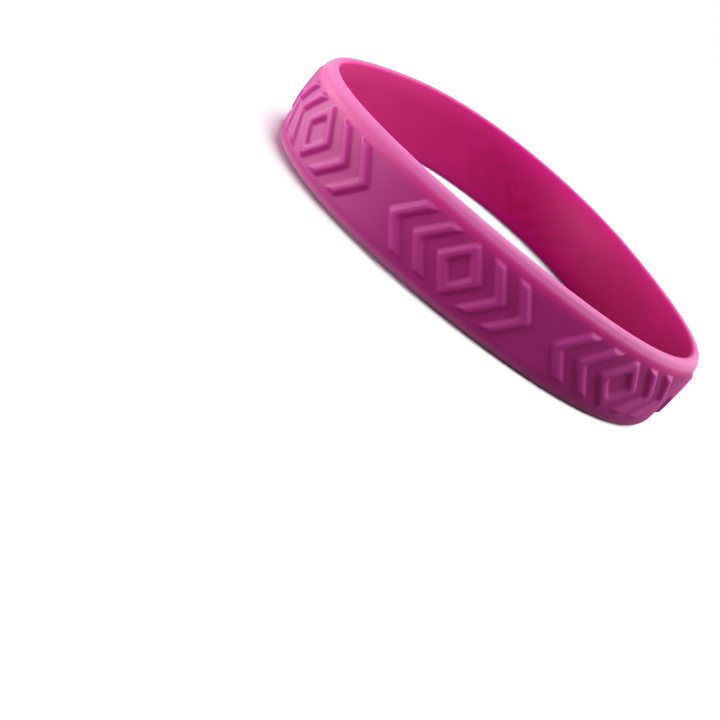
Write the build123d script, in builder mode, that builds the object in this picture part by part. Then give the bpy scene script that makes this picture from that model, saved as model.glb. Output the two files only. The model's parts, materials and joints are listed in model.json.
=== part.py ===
from build123d import *
from math import atan, cos, degrees, pi
import os

# A silicone wristband: one moulded loop with rounded rims and raised motifs on its outer wall.
# Millimetres, +Z up along the axis of the loop, origin at the middle of its bottom rim.
# The middle of one group of motifs faces -Y.

# Driving dimensions of the loop
inner_circumference = 202.0
wall_thickness = 2.0
band_width = 12.0
outer_corner_radius = 1.0
inner_corner_radius = 0.4

# Driving dimensions of the raised motifs, measured on the outer wall
relief_height = 0.5
relief_draft = 18.0
motif_height = 7.8
diamond_width = 6.8
stroke_width = 1.6
stroke_gap = 1.4
chevrons_each_side = 2
least_group_gap = 3.5

# Worked out from the driving dimensions
inner_radius = inner_circumference / (2 * pi)
outer_radius = inner_radius + wall_thickness
outer_corner = min(outer_corner_radius, 0.6 * wall_thickness)
inner_corner = min(inner_corner_radius, 0.3 * wall_thickness)
half_height = motif_height / 2
half_width = diamond_width / 2

# Every stroke slopes as the sides of the diamond do, so its width along the wall grows by this factor.
slope = diamond_width / motif_height
stroke_along = stroke_width / cos(atan(slope))
gap_along = stroke_gap / cos(atan(slope))
chevron_pitch = stroke_along + gap_along
open_width = half_width - stroke_along
open_height = open_width / slope

# The groups go all the way round, as many as fit.
group_width = 2 * (half_width + chevrons_each_side * chevron_pitch)
group_count = int(2 * pi * outer_radius // (group_width + least_group_gap))

# Drafted sides reach past the top of the relief before they are trimmed to it.
motif_reach = 2 * relief_height
motif_root = wall_thickness / 2


def wall_plane(along):
    """Returns the plane that touches the outer wall this far along it from the middle of the front."""
    turn = degrees(along / outer_radius)
    front = Plane(origin=(0, -outer_radius, band_width / 2), x_dir=(1, 0, 0), z_dir=(0, -1, 0))
    return Plane(Rotation(0, 0, turn) * front.location)


# One group of motifs: a diamond outline with chevrons nested on each side of it
with BuildPart() as motif_group:
    with BuildSketch(wall_plane(0)) as diamond:
        with BuildLine():
            Polyline((half_width, 0), (0, half_height), (-half_width, 0), (0, -half_height), close=True)
        make_face()
        with BuildLine():
            Polyline((open_width, 0), (0, open_height), (-open_width, 0), (0, -open_height), close=True)
        make_face(mode=Mode.SUBTRACT)
    extrude(diamond.sketch, amount=-motif_root)
    extrude(amount=motif_reach, taper=relief_draft)
    for side in (-1, 1):
        for place in range(chevrons_each_side):
            tip = side * stroke_along
            back = -side * half_width
            with BuildSketch(wall_plane(side * (half_width + gap_along + place * chevron_pitch))) as chevron:
                with BuildLine():
                    Polyline(
                        (tip, 0),
                        (tip + back, half_height),
                        (back, half_height),
                        (0, 0),
                        (back, -half_height),
                        (tip + back, -half_height),
                        close=True,
                    )
                make_face()
            extrude(chevron.sketch, amount=-motif_root)
            extrude(amount=motif_reach, taper=relief_draft)
    with BuildSketch(Plane.XY):
        Circle(outer_radius + relief_height)
    extrude(amount=band_width, mode=Mode.INTERSECT)

# The loop, with the groups spread evenly round it
with BuildPart() as band:
    with BuildSketch(Plane.XZ) as section:
        with Locations((inner_radius, 0)):
            Rectangle(wall_thickness, band_width, align=(Align.MIN, Align.MIN))
        fillet(section.vertices().group_by(Axis.X)[-1], outer_corner)
        fillet(section.vertices().group_by(Axis.X)[0], inner_corner)
    revolve(axis=Axis.Z)
    with PolarLocations(0, group_count):
        add(motif_group.part)

band.part.label = "band"
os.makedirs("parts", exist_ok=True)
export_step(band.part, "parts/band.step")
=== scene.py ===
"""The look of the silicone wristband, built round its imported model.

The band is one moulded piece, so one surface replaces its solid: the section of the loop is carried round
the axis, and the raised motifs are a height laid over the outer wall. Sizes are in metres, in the frame of
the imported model, which gives the band's width, its bore and its reach.
"""

import sys
import json
import logging
import math
from dataclasses import dataclass, field
from enum import Enum
from typing import Any, Optional, Union

import bpy
import numpy as np
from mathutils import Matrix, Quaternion, Vector


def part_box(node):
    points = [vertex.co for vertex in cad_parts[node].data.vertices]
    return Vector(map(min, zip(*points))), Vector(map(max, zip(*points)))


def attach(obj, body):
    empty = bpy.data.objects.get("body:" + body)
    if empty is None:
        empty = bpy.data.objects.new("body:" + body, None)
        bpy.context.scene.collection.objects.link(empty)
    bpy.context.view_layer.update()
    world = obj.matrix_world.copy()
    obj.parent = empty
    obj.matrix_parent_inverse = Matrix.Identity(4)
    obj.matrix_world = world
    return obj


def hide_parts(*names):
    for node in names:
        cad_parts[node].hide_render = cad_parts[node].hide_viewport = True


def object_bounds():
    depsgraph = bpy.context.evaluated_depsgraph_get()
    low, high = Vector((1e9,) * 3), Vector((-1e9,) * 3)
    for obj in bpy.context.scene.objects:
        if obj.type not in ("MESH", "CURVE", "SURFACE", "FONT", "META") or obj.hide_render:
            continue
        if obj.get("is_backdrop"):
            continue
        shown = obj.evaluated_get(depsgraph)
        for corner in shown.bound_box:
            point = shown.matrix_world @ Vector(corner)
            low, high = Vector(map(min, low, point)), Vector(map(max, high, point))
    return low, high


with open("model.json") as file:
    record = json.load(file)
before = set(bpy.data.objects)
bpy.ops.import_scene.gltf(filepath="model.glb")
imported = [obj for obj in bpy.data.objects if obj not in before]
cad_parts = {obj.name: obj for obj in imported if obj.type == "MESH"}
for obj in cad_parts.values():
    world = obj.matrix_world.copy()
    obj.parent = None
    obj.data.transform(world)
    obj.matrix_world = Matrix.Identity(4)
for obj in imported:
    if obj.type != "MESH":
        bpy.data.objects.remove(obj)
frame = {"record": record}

MM = 0.001
log = logging.getLogger("wristband")

Colour = tuple[float, float, float, float]
Value = Union["Socket", float, int, tuple]


class Mask(Enum):
    """The masks kept on the band's mesh, each from 0 to 1, that its finish reads."""

    RELIEF = "relief"
    PAINTED_SHADE = "painted_shade"
    RIM_HIGHLIGHT = "rim"
    GLOW_STRIPE = "glow_stripe"
    INNER_GLOW = "inside"


class Operation(Enum):
    """The operations of a Math node that expressions on sockets use."""

    ADD = "ADD"
    SUBTRACT = "SUBTRACT"
    MULTIPLY = "MULTIPLY"


class Socket:
    """An output of a node that can be used in a Python expression on values."""

    def __init__(self, graph: "Graph", output: bpy.types.NodeSocket) -> None:
        """Wraps an output.

        Args:
            graph: The graph that the output belongs to.
            output: The output itself.
        """
        self.graph = graph
        self.output = output

    def _math(self, operation: Operation, first: Value, second: Value) -> "Socket":
        """Adds a Math node.

        Args:
            operation: The node's operation.
            first: Its first value.
            second: Its second value.

        Returns:
            The node's result.
        """
        settings = {"operation": operation.value}
        return self.graph.node("ShaderNodeMath", settings, {0: first, 1: second})["Value"]

    def __add__(self, other: Value) -> "Socket":
        """Adds a value to this one."""
        return self._math(Operation.ADD, self, other)

    def __radd__(self, other: Value) -> "Socket":
        """Adds this value to another."""
        return self._math(Operation.ADD, other, self)

    def __sub__(self, other: Value) -> "Socket":
        """Takes a value from this one."""
        return self._math(Operation.SUBTRACT, self, other)

    def __rsub__(self, other: Value) -> "Socket":
        """Takes this value from another."""
        return self._math(Operation.SUBTRACT, other, self)

    def __mul__(self, other: Value) -> "Socket":
        """Multiplies this value by another."""
        return self._math(Operation.MULTIPLY, self, other)

    def __rmul__(self, other: Value) -> "Socket":
        """Multiplies another value by this one."""
        return self._math(Operation.MULTIPLY, other, self)


class Outputs:
    """The outputs of one node, by name."""

    def __init__(self, graph: "Graph", node: bpy.types.Node) -> None:
        """Wraps a node.

        Args:
            graph: The graph that the node belongs to.
            node: The node itself.
        """
        self.graph = graph
        self.node = node

    def __getitem__(self, name: Union[str, int]) -> Socket:
        """Returns one output, by its name or its place."""
        return Socket(self.graph, self.node.outputs[name])


class Graph:
    """The nodes of one material or of the world."""

    def __init__(self, tree: bpy.types.NodeTree) -> None:
        """Empties a node tree and keeps it.

        Args:
            tree: The tree to fill.
        """
        self.tree = tree
        self.tree.nodes.clear()

    def node(self, kind: str, settings: dict[str, Any], inputs: dict[Union[str, int], Value]) -> Outputs:
        """Adds a node.

        Args:
            kind: The node's type.
            settings: Its own settings, which are set first.
            inputs: A value or a link for each socket, by name or place.

        Returns:
            The node's outputs.
        """
        made = self.tree.nodes.new(kind)
        for name, value in settings.items():
            setattr(made, name, value)
        for name, value in inputs.items():
            if isinstance(value, Socket):
                self.tree.links.new(value.output, made.inputs[name])
            else:
                made.inputs[name].default_value = value
        return Outputs(self, made)

    def place(self) -> Socket:
        """Returns the place of each point of a piece, in metres."""
        return self.node("ShaderNodeTexCoord", {}, {})["Object"]

    def mask(self, mask: Mask) -> Socket:
        """Returns a mask that is kept on the mesh."""
        return self.node("ShaderNodeAttribute", {"attribute_name": mask.value}, {})["Fac"]

    def seen(self) -> Socket:
        """Returns 1 where the camera sees a thing itself, and 0 where the thing only sheds light."""
        return self.node("ShaderNodeLightPath", {}, {})["Is Camera Ray"]

    def noise(self, place: Socket, size: float, detail: float) -> Socket:
        """Adds a noise pattern.

        Args:
            place: The coordinates that it reads.
            size: The width of its spots, in metres.
            detail: How many finer patterns it holds.

        Returns:
            Its value, from 0 to 1.
        """
        inputs = {"Vector": place, "Scale": 1 / size, "Detail": detail}
        return self.node("ShaderNodeTexNoise", {}, inputs)["Fac"]

    def spread(self, value: Socket, low: float, high: float) -> Socket:
        """Spreads a value's range from low to high over 0 to 1, with soft ends."""
        settings = {"interpolation_type": "SMOOTHSTEP"}
        return self.node("ShaderNodeMapRange", settings, {"Value": value, 1: low, 2: high})["Result"]

    def mix(self, share: Value, first: Value, second: Value) -> Socket:
        """Mixes two colours. A Mix node takes them at its sockets 6 and 7, and gives the result at output 2.

        Args:
            share: How much of the second is taken, from 0 to 1.
            first: The first colour.
            second: The second colour.

        Returns:
            The mixed colour.
        """
        return self.node("ShaderNodeMix", {"data_type": "RGBA"}, {0: share, 6: first, 7: second})[2]

    def bump(self, height: Socket, depth: float, under: Optional[Socket] = None) -> Socket:
        """Adds a bump.

        Args:
            height: The pattern that it follows.
            depth: How far the pattern stands out, in metres.
            under: The normal that it is laid over, if that isn't the mesh's own.

        Returns:
            The new normal.
        """
        inputs = {"Height": height, "Distance": depth, "Strength": 1.0}
        if under is not None:
            inputs["Normal"] = under
        return self.node("ShaderNodeBump", {}, inputs)["Normal"]


def blank_material(name: str) -> tuple[bpy.types.Material, Graph]:
    """Makes a material with nothing in it.

    Args:
        name: The material's name.

    Returns:
        The material and its graph.
    """
    made = bpy.data.materials.new(name)
    made.use_nodes = True
    return made, Graph(made.node_tree)


def add_object(name: str, data: bpy.types.ID) -> bpy.types.Object:
    """Makes an object and puts it in the scene.

    Args:
        name: The object's name.
        data: Its mesh, light or camera.

    Returns:
        The new object.
    """
    made = bpy.data.objects.new(name, data)
    bpy.context.scene.collection.objects.link(made)
    return made


def set_turn(made: bpy.types.Object, turn: Quaternion) -> None:
    """Turns a light or a camera."""
    made.rotation_mode = "QUATERNION"
    made.rotation_quaternion = turn


def soft_step(t: np.ndarray) -> np.ndarray:
    """Goes from 0 to 1 with soft ends, 3t^2 - 2t^3, and stays flat outside them."""
    t = np.clip(t, 0, 1)
    return t * t * (3 - 2 * t)


def bell(distance: np.ndarray, width: float) -> np.ndarray:
    """Is 1 at distance 0 and falls off on both sides, exp(-(distance / width)^2)."""
    return np.exp(-((distance / width) ** 2))


@dataclass(frozen=True)
class SiliconeFinish:
    """Coloured silicone as it leaves the mould: satin, a little translucent, with a fine skin."""

    name: str = "magenta_silicone"
    # Deep tone: used for the random patches, and for the painted shade beside the motifs.
    deep: Colour = (0.24, 0.0055, 0.113, 1.0)
    body: Colour = (0.28, 0.0095, 0.147, 1.0)
    # Lighter raised tops: partly painted sheen, partly dust.
    raised: Colour = (0.31, 0.017, 0.17, 1.0)
    # Pale rims: a painted highlight.
    rim: Colour = (0.4, 0.098, 0.233, 1.0)
    # A painted glow below the upper rim, as if lit through the silicone.
    glow_stripe: Colour = (0.385, 0.0105, 0.155, 1.0)
    # The inner wall's colour is a painted glow, as if lit through the silicone.
    inside: Colour = (0.35, 0.0035, 0.115, 1.0)
    patch_share: float = 0.25
    painted_shade_share: float = 0.3
    roughness: float = 0.58
    roughness_raised: float = 0.06
    roughness_rim: float = 0.2
    roughness_patch: float = 0.06
    patch_size: float = 9 * MM
    patch_detail: float = 3.0
    patch_low: float = 0.3
    patch_high: float = 0.7
    skin_size: float = 0.9 * MM
    grain_size: float = 0.11 * MM
    fine_detail: float = 2.0
    skin_depth: float = 0.01 * MM
    grain_depth: float = 0.0022 * MM
    translucency: float = 0.3
    scatter_distance: float = 16 * MM
    scatter_colour: tuple[float, float, float] = (1.0, 0.12, 0.58)
    refraction: float = 1.42
    gloss: float = 0.5

    def material(self) -> bpy.types.Material:
        """Makes the material, with colours that follow masks kept on the mesh.

        The raised tops are lighter, partly painted sheen and partly dust, and duller than the wall. The wall
        beside them is deeper, a painted shade. The rims are paler, a painted highlight, and duller. The
        inner wall and a stripe below the upper rim are redder, a painted glow of light coming through the
        silicone.

        Returns:
            The finished material.
        """
        made, graph = blank_material(self.name)
        place = graph.place()
        relief = graph.mask(Mask.RELIEF)
        painted_shade = graph.mask(Mask.PAINTED_SHADE)
        rim = graph.mask(Mask.RIM_HIGHLIGHT)
        patch = graph.noise(place, self.patch_size, self.patch_detail)
        patch = graph.spread(patch, self.patch_low, self.patch_high)
        colour = graph.mix(self.patch_share * patch, self.body, self.deep)
        # The raised tops are lighter: partly painted sheen, partly dust.
        colour = graph.mix(relief, colour, self.raised)
        # Painted shade: the wall beside each motif is deepened.
        colour = graph.mix(self.painted_shade_share * painted_shade, colour, self.deep)
        # Painted glow: a redder stripe below the upper rim.
        colour = graph.mix(graph.mask(Mask.GLOW_STRIPE), colour, self.glow_stripe)
        # Painted highlight: the rims are paler.
        colour = graph.mix(rim, colour, self.rim)
        # Painted glow: the inner wall is redder.
        colour = graph.mix(graph.mask(Mask.INNER_GLOW), colour, self.inside)
        skin = graph.noise(place, self.skin_size, self.fine_detail)
        grain = graph.noise(place, self.grain_size, self.fine_detail)
        normal = graph.bump(grain, self.grain_depth, graph.bump(skin, self.skin_depth))
        roughness = self.roughness + self.roughness_raised * relief + self.roughness_patch * (patch - 0.5)
        roughness = roughness + self.roughness_rim * rim
        shader = graph.node(
            "ShaderNodeBsdfPrincipled",
            {"subsurface_method": "RANDOM_WALK"},
            {
                "Base Color": colour,
                "Roughness": roughness,
                "Normal": normal,
                "IOR": self.refraction,
                "Specular IOR Level": self.gloss,
                "Subsurface Weight": self.translucency,
                "Subsurface Radius": self.scatter_colour,
                "Subsurface Scale": self.scatter_distance,
            },
        )
        graph.node("ShaderNodeOutputMaterial", {}, {"Surface": shader["BSDF"]})
        return made


@dataclass(frozen=True)
class FloorFinish:
    """Plain matt pale board, which throws less light back on the band than it shows."""

    name: str = "pale_board"
    colour: Colour = (0.95, 0.95, 0.95, 1.0)
    bounce: Colour = (0.12, 0.12, 0.12, 1.0)
    roughness: float = 0.9

    def material(self) -> bpy.types.Material:
        """Makes the material.

        Returns:
            The finished material.
        """
        made, graph = blank_material(self.name)
        colour = graph.mix(graph.seen(), self.bounce, self.colour)
        inputs = {"Base Color": colour, "Roughness": self.roughness}
        shader = graph.node("ShaderNodeBsdfPrincipled", {}, inputs)
        graph.node("ShaderNodeOutputMaterial", {}, {"Surface": shader["BSDF"]})
        return made


@dataclass
class Frieze:
    """The raised motifs: groups of a diamond outline with chevrons nested on each side of it."""

    groups: int = 8
    height: float = 0.5 * MM
    motif_height: float = 7.8 * MM
    diamond_width: float = 6.8 * MM
    stroke: float = 1.6 * MM
    gap: float = 1.4 * MM
    chevrons_each_side: int = 2
    flank: float = 0.65 * MM
    foot: float = 0.08 * MM
    corner: float = 0.28 * MM
    mitre: float = 0.22 * MM
    painted_shade_reach: float = 0.45 * MM

    def strokes(self) -> np.ndarray:
        """Works out where each stroke starts and ends, as the distance from a group's middle at mid height.

        Returns:
            One row for each stroke, with its start and end.
        """
        half = self.diamond_width / 2
        along = math.hypot(1, self.slope())
        ends = half + (self.stroke + self.gap) * along * np.arange(self.chevrons_each_side + 1)
        return np.stack([ends - self.stroke * along, ends], axis=1)

    def slope(self) -> float:
        """Returns how far a stroke runs along the wall for each length that it climbs."""
        return self.diamond_width / self.motif_height

    def outside(self, along: np.ndarray, up: np.ndarray) -> np.ndarray:
        """Works out how far a point of the wall lies outside the motifs, less than 0 inside them.

        Every stroke is a band of constant q = |along| + slope * |up|, with both lengths rounded off near 0
        so that the mitres are soft. Its distance is that of q from the nearest band, square to the stroke.
        The motifs end at half their height. The two distances meet in a rounded corner.

        Args:
            along: The distance along the wall from the middle of the nearest group.
            up: The distance above mid height.

        Returns:
            The distance outside the nearest motif.
        """
        reach = np.hypot(along, self.mitre) - self.mitre
        climb = np.hypot(up, self.mitre) - self.mitre
        q = reach + self.slope() * climb
        starts, ends = self.strokes().T
        from_bands = np.abs(q[..., None] - (starts + ends) / 2) - (ends - starts) / 2
        across = from_bands.min(axis=-1) / math.hypot(1, self.slope())
        over = np.abs(up) - self.motif_height / 2
        first = np.maximum(across + self.corner, 0)
        second = np.maximum(over + self.corner, 0)
        within = np.minimum(np.maximum(across, over) + self.corner, 0)
        return np.hypot(first, second) + within - self.corner

    def relief(self, outside: np.ndarray) -> np.ndarray:
        """Turns distance into height: a soft step over the flank, from the foot, 0, to the top, 1."""
        return soft_step((self.foot - outside) / self.flank)

    def painted_shade(self, outside: np.ndarray) -> np.ndarray:
        """Marks the painted shade on the wall close beside a motif, 1 at its foot and falling to 0 as a bell
        does.
        """
        return bell(np.maximum(outside, 0), self.painted_shade_reach) * (outside > -self.foot)


@dataclass
class Section:
    """The section of the loop: a flat inner wall, an outer wall and two rims with rounded corners."""

    inner_radius: float
    outer_radius: float
    width: float
    outer_corner: float
    outer_rise: float
    inner_corner: float
    wall_rows: int = 44
    outer_rows: int = 15
    inner_rows: int = 6
    bore_rows: int = 4

    def corner_arc(
        self, middle: tuple[float, float], size: tuple[float, float], start: float, rows: int
    ) -> np.ndarray:
        """Works out a rounded corner: a quarter of an ellipse about its middle, without its last point.

        Args:
            middle: The distance of the ellipse's middle from the axis, and its height.
            size: Its reach outwards and its reach upwards.
            start: The angle where it starts, in quarter turns from straight out.
            rows: The number of points.

        Returns:
            The points, each with its distance from the axis and its height.
        """
        turn = (start + np.arange(rows) / rows) * math.pi / 2
        return np.stack([middle[0] + size[0] * np.cos(turn), middle[1] + size[1] * np.sin(turn)], axis=1)

    def outline(self) -> np.ndarray:
        """Works out the closed outline, up the outer wall, over the top rim, down inside and back below.

        Returns:
            The points, each with its distance from the axis and its height.
        """
        out = self.outer_radius - self.outer_corner
        inside = self.inner_radius + self.inner_corner
        outer, inner = (self.outer_corner, self.outer_rise), (self.inner_corner, self.inner_corner)
        low, high = self.outer_rise, self.width - self.outer_rise
        wall = np.linspace(low, high, self.wall_rows, endpoint=False)
        top, bottom = self.width - self.inner_corner, self.inner_corner
        bore = np.linspace(top, bottom, self.bore_rows, endpoint=False)
        return np.concatenate(
            [
                np.stack([np.full_like(wall, self.outer_radius), wall], axis=1),
                self.corner_arc((out, high), outer, 0, self.outer_rows),
                [[out, self.width]],
                self.corner_arc((inside, top), inner, 1, self.inner_rows),
                np.stack([np.full_like(bore, self.inner_radius), bore], axis=1),
                self.corner_arc((inside, bottom), inner, 2, self.inner_rows),
                [[inside, 0.0]],
                self.corner_arc((out, low), outer, 3, self.outer_rows),
            ]
        )

    def from_rim(self, outline: np.ndarray) -> np.ndarray:
        """Returns how far each point of the outline lies from the nearer rim, up or down."""
        return self.width / 2 - np.abs(outline[:, 1:] - self.width / 2)

    def faces_out(self, outline: np.ndarray) -> np.ndarray:
        """Marks the points of the outline on the outer wall and its rounded corners."""
        return outline[:, :1] > self.outer_radius - self.outer_corner

    def faces_in(self, outline: np.ndarray) -> np.ndarray:
        """Marks the inner wall with 1, falling to 0 over its rounded corners, as a share of their reach."""
        return np.clip((self.inner_radius + self.inner_corner - outline[:, :1]) / self.inner_corner, 0, 1)


@dataclass
class Wristband:
    """The wristband: one loop with its section carried round it and the frieze raised on its outer wall."""

    frieze: Frieze = field(default_factory=Frieze)
    finish: SiliconeFinish = field(default_factory=SiliconeFinish)
    outer_corner: float = 1.2 * MM
    outer_rise: float = 2.0 * MM
    inner_corner: float = 0.5 * MM
    columns_each_group: int = 135
    strips: int = 3
    strip_margin: float = 0.004
    mould_line_inset: float = 0.7 * MM
    mould_line_depth: float = 0.06 * MM
    mould_line_width: float = 0.18 * MM
    highlight_reach: float = 1.5 * MM
    highlight_fade: float = 1.0 * MM
    glow_stripe_inset: float = 1.4 * MM
    glow_stripe_width: float = 0.75 * MM
    oval: float = 0.86 * MM
    oval_turn: float = 100.6
    egg: float = 1.92 * MM
    egg_turn: float = -22.5
    wander: float = 0.03 * MM
    wander_crests: int = 7
    wander_start: float = 0.3
    warp: float = 0.317 * MM
    warp_turn: float = 78.8
    wave: float = 0.116 * MM
    wave_turn: float = 7.1
    tilt: float = 0.062 * MM
    low_rise: float = 0.2

    def build(self) -> bpy.types.Object:
        """Makes the band's mesh, with its masks and its finish, and puts it in place of the solid.

        Returns:
            The band's object.
        """
        section = self.section()
        outline = section.outline()
        masks = self.masks(section, outline)
        made = self.grid_piece("wristband", self.surface(section, outline, masks[Mask.RELIEF]))
        for mask, values in masks.items():
            layer = made.data.attributes.new(mask.value, "FLOAT", "POINT")
            layer.data.foreach_set("value", values.ravel().astype(np.float32))
        self.chart(made.data, outline)
        made.data.materials.append(self.finish.material())
        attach(made, "root")
        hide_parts("band")
        return made

    def section(self) -> Section:
        """Reads the loop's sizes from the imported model.

        Returns:
            The section of the loop.
        """
        low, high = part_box("band")
        bore = next(mount for mount in frame["record"]["mounts"] if mount["name"] == "wrist_bore")
        return Section(
            inner_radius=bore["dims"]["r_mm"] * MM,
            outer_radius=(high[0] - low[0]) / 2 - self.frieze.height,
            width=high[2] - low[2],
            outer_corner=self.outer_corner,
            outer_rise=self.outer_rise,
            inner_corner=self.inner_corner,
        )

    def columns(self) -> int:
        """Returns the number of columns round the loop."""
        return self.frieze.groups * self.columns_each_group

    def masks(self, section: Section, outline: np.ndarray) -> dict[Mask, np.ndarray]:
        """Works out the masks that the finish follows.

        The relief and the painted shade beside it lie on the outer wall. The rim's mask, for the painted
        highlight, is a soft step that ends at its own distance from each rim. The painted glow below the
        upper rim is a bell about a line, left off the motifs. The inside, a painted glow too, is the inner
        wall.

        Args:
            section: The section of the loop.
            outline: Its outline.

        Returns:
            An array for each mask, rows up the outline by columns round the loop.
        """
        height = outline[:, 1:]
        group_width = 2 * math.pi * section.outer_radius / self.frieze.groups
        steps = (np.arange(self.columns()) + self.columns_each_group / 2) % self.columns_each_group
        along = (steps / self.columns_each_group - 0.5) * group_width
        on_wall = np.arange(len(outline))[:, None] < section.wall_rows
        outside = self.frieze.outside(*np.broadcast_arrays(along[None, :], height - section.width / 2))
        relief = self.frieze.relief(outside) * on_wall
        glow_stripe = bell(section.width - self.glow_stripe_inset - height, self.glow_stripe_width)
        masks = {
            Mask.RELIEF: relief,
            Mask.PAINTED_SHADE: self.frieze.painted_shade(outside) * on_wall,
            Mask.RIM_HIGHLIGHT: soft_step((self.highlight_reach - section.from_rim(outline)) / self.highlight_fade),
            Mask.GLOW_STRIPE: glow_stripe * section.faces_out(outline) * (1 - relief),
            Mask.INNER_GLOW: section.faces_in(outline),
        }
        return {mask: np.broadcast_to(values, relief.shape) for mask, values in masks.items()}

    def surface(self, section: Section, outline: np.ndarray, relief: np.ndarray) -> np.ndarray:
        """Works out the band's surface.

        A point at angle a and outline point (r, z) lies at (R cos a, R sin a, Z). R is r, plus the
        relief's height on the outer wall, less a bell-shaped mould line beside each rim, plus the loop's
        own set. Z is z plus the set's rise, lifted so that the lowest point touches the floor. The lower
        rim takes only a share of that rise, because it lies on the floor.

        Args:
            section: The section of the loop.
            outline: Its outline.
            relief: The relief's mask.

        Returns:
            The points, rows up the outline by columns round the loop, with x, y and z.
        """
        radius, height = outline[:, :1], outline[:, 1:]
        turn = np.arange(self.columns()) / self.columns() * 2 * math.pi - math.pi / 2
        line = bell(section.from_rim(outline) - self.mould_line_inset, self.mould_line_width)
        line = line * section.faces_out(outline)
        out, rise = self.set_of(turn)
        reach = radius + self.frieze.height * relief - self.mould_line_depth * line + out
        share = self.low_rise + (1 - self.low_rise) * height / section.width
        lift = share * (rise - rise.min())
        return np.stack([reach * np.cos(turn), reach * np.sin(turn), height + lift], axis=-1)

    def set_of(self, turn: np.ndarray) -> tuple[np.ndarray, np.ndarray]:
        """Works out the set that a soft loop takes: a little out of round, and a little out of flat.

        Outwards it is a wave of two and one of three crests round the loop with a finer one of seven, and
        upwards a wave of two and one of three, with a slight tilt up towards the back.

        Args:
            turn: The angles round the loop.

        Returns:
            How far the loop lies outwards and upwards at each angle.
        """
        oval = self.oval * np.cos(2 * (turn - math.radians(self.oval_turn)))
        egg = self.egg * np.cos(3 * (turn - math.radians(self.egg_turn)))
        fine = self.wander * np.sin(self.wander_crests * turn + self.wander_start)
        warp = self.warp * np.cos(2 * (turn - math.radians(self.warp_turn)))
        wave = self.wave * np.cos(3 * (turn - math.radians(self.wave_turn)))
        return oval + egg + fine, warp + wave + self.tilt * np.sin(turn)

    def grid_piece(self, name: str, points: np.ndarray) -> bpy.types.Object:
        """Makes a closed mesh of four-sided faces from a grid of points that wraps round both ways.

        Args:
            name: The piece's name.
            points: The grid, rows up the outline by columns round the loop, with x, y and z.

        Returns:
            The new object.
        """
        rows, columns = points.shape[:2]
        index = np.arange(rows * columns).reshape(rows, columns)
        above = np.roll(index, -1, axis=0)
        faces = np.stack([index, np.roll(index, -1, axis=1), np.roll(above, -1, axis=1), above], axis=-1)
        mesh = bpy.data.meshes.new(name)
        mesh.vertices.add(rows * columns)
        mesh.vertices.foreach_set("co", points.astype(np.float32).ravel())
        mesh.loops.add(faces.size)
        mesh.loops.foreach_set("vertex_index", faces.astype(np.int32).ravel())
        mesh.polygons.add(rows * columns)
        mesh.polygons.foreach_set("loop_start", np.arange(0, faces.size, 4, dtype=np.int32))
        mesh.update(calc_edges=True)
        mesh.shade_smooth()
        mesh.validate()
        return add_object(name, mesh)

    def chart(self, mesh: bpy.types.Mesh, outline: np.ndarray) -> None:
        """Lays the surface out flat: cut into equal stretches round the loop, stacked in the unit square.

        Args:
            mesh: The band's mesh.
            outline: The section's outline.
        """
        steps = np.linalg.norm(np.roll(outline, -1, axis=0) - outline, axis=1)
        share = np.concatenate([[0], np.cumsum(steps)]) / steps.sum()
        stretch = self.columns() // self.strips
        column = np.arange(self.columns())
        left = (column % stretch) / stretch
        right = left + 1 / stretch
        within = 1 - 2 * self.strip_margin
        across = self.strip_margin + within * np.stack([left, right, right, left], axis=-1)
        climb = np.stack([share[:-1], share[:-1], share[1:], share[1:]], axis=-1)
        climb = self.strip_margin + within * climb
        strip = (column // stretch)[None, :, None]
        flat = np.empty((len(outline), self.columns(), 4, 2), dtype=np.float32)
        flat[..., 0] = across[None, :, :]
        flat[..., 1] = (strip + climb[:, None, :]) / self.strips
        mesh.uv_layers.new(name="OFBake").data.foreach_set("uv", flat.ravel())


@dataclass
class Floor:
    """The pale floor that the band lies on."""

    half_width: float = 4.0
    finish: FloorFinish = field(default_factory=FloorFinish)

    def build(self) -> bpy.types.Object:
        """Makes the floor, a flat square at the height of the band's lowest point.

        Returns:
            The floor's object.
        """
        corners = np.array([[-1, -1, 0], [1, -1, 0], [1, 1, 0], [-1, 1, 0]]) * self.half_width
        mesh = bpy.data.meshes.new("floor")
        mesh.from_pydata(corners.tolist(), [], [(0, 1, 2, 3)])
        mesh.materials.append(self.finish.material())
        made = add_object("floor", mesh)
        made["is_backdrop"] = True
        return made


@dataclass
class SunLight:
    """One broad soft light that is even over the whole floor.

    Azimuth 0 is in front, over -Y, and 90 is to the right, over +X.
    """

    name: str
    azimuth: float
    elevation: float
    softness: float
    strength: float

    def build(self) -> bpy.types.Object:
        """Makes the light, which shines from its azimuth and elevation towards the band.

        Returns:
            The light's object.
        """
        data = bpy.data.lights.new(self.name, "SUN")
        data.energy = self.strength
        data.angle = math.radians(self.softness)
        turn, rise = math.radians(self.azimuth), math.radians(self.elevation)
        back = Vector((math.sin(turn) * math.cos(rise), -math.cos(turn) * math.cos(rise), math.sin(rise)))
        made = add_object(self.name, data)
        set_turn(made, back.to_track_quat("Z", "Y"))
        return made


@dataclass
class StripLight:
    """One low wide light that stands on the floor and shines level, so that it stays out of the loop.

    Its azimuth is measured as a sun light's is, and its strength, what it sheds on the band, is in the
    same unit.
    """

    name: str
    azimuth: float
    distance: float
    width: float
    height: float
    strength: float

    def build(self) -> bpy.types.Object:
        """Makes the light. A matt panel of power P sheds P / (pi d^2) on what faces it at the distance d.

        Returns:
            The light's object.
        """
        data = bpy.data.lights.new(self.name, "AREA")
        data.shape = "RECTANGLE"
        data.size = self.width
        data.size_y = self.height
        data.energy = math.pi * self.strength * self.distance**2
        turn = math.radians(self.azimuth)
        back = Vector((math.sin(turn), -math.cos(turn), 0))
        made = add_object(self.name, data)
        made.location = self.distance * back + Vector((0, 0, self.height / 2))
        made.visible_camera = False
        set_turn(made, back.to_track_quat("Z", "Y"))
        return made


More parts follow.
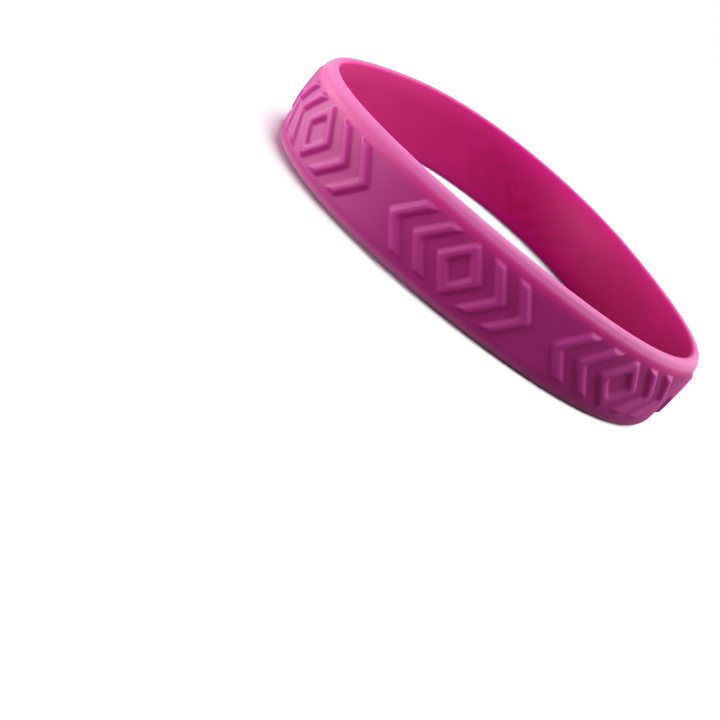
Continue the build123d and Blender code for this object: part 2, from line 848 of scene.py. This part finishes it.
@dataclass
class Studio:
    """The plain soft light: an even pale room and a few broad lights."""

    room_colour: Colour = (1.0, 1.0, 1.0, 1.0)
    room_light: float = 0.02
    backdrop: float = 1.0
    lights: tuple[Union[StripLight, SunLight], ...] = (
        StripLight("left", azimuth=-92, distance=0.4, width=0.42, height=0.012, strength=4.5),
        StripLight("behind", azimuth=180, distance=0.4, width=0.42, height=0.012, strength=4.2),
        SunLight("left_front", azimuth=-58, elevation=4, softness=20, strength=2.7),
        SunLight("back_right", azimuth=128, elevation=12, softness=40, strength=0.7),
        SunLight("high_right", azimuth=118, elevation=60, softness=75, strength=4.8),
        SunLight("high_front", azimuth=60, elevation=50, softness=60, strength=1.1),
        SunLight("overhead", azimuth=0, elevation=90, softness=20, strength=0.9),
    )

    def build(self) -> None:
        """Makes the room and its lights. The camera sees the backdrop, and the band is lit by the room."""
        world = bpy.data.worlds.new("room")
        bpy.context.scene.world = world
        world.use_nodes = True
        graph = Graph(world.node_tree)
        strength = self.room_light + (self.backdrop - self.room_light) * graph.seen()
        room = graph.node("ShaderNodeBackground", {}, {"Color": self.room_colour, "Strength": strength})
        graph.node("ShaderNodeOutputWorld", {}, {"Surface": room["Background"]})
        for light in self.lights:
            light.build()


@dataclass
class PhotoCamera:
    """The camera, at the photograph's angle to the band."""

    frame_pixels: float = 720.0
    focal_pixels: float = 1200.0
    centre_pixel: tuple[float, float] = (494.2, 227.7)
    distance: float = 179.6 * MM
    elevation: float = 12.04
    roll: float = 39.96
    sensor: float = 36.0
    nearest: float = 0.01
    farthest: float = 20.0

    def build(self, centre: Vector) -> bpy.types.Object:
        """Makes the camera.

        It looks at the band's middle from the front with its roll, and is then turned so that the middle
        falls at its own pixel of the photograph.

        Args:
            centre: The middle of the band.

        Returns:
            The camera's object.
        """
        data = bpy.data.cameras.new("photo_camera")
        data.sensor_width = self.sensor
        data.lens = self.sensor * self.focal_pixels / self.frame_pixels
        data.clip_start = self.nearest
        data.clip_end = self.farthest
        rise = math.radians(self.elevation)
        back = Vector((0, -math.cos(rise), math.sin(rise)))
        straight = back.to_track_quat("Z", "Y") @ Quaternion((0, 0, 1), math.radians(self.roll))
        half = self.frame_pixels / 2
        seen = Vector((self.centre_pixel[0] - half, half - self.centre_pixel[1], -self.focal_pixels))
        turned = Vector((0, 0, -1)).rotation_difference(seen)
        made = add_object("photo_camera", data)
        made.location = centre + self.distance * back
        set_turn(made, straight @ turned.inverted())
        bpy.context.scene.camera = made
        return made


def main() -> None:
    """Builds the band, its floor, its light and its camera."""
    logging.basicConfig(level=logging.INFO, format="%(name)s: %(message)s", stream=sys.stdout)
    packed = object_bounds()
    bpy.context.scene.view_settings.view_transform = "Standard"
    band = Wristband().build()
    log.info("%s: %d points, %d faces", band.name, len(band.data.vertices), len(band.data.polygons))
    floor = Floor().build()
    log.info("%s: the surface that the band lies on", floor.name)
    Studio().build()
    log.info("studio: an even room and its lights")
    camera = PhotoCamera().build((packed[0] + packed[1]) / 2)
    log.info("%s: %.0f mm lens", camera.name, camera.data.lens)


if __name__ == "__main__":
    main()
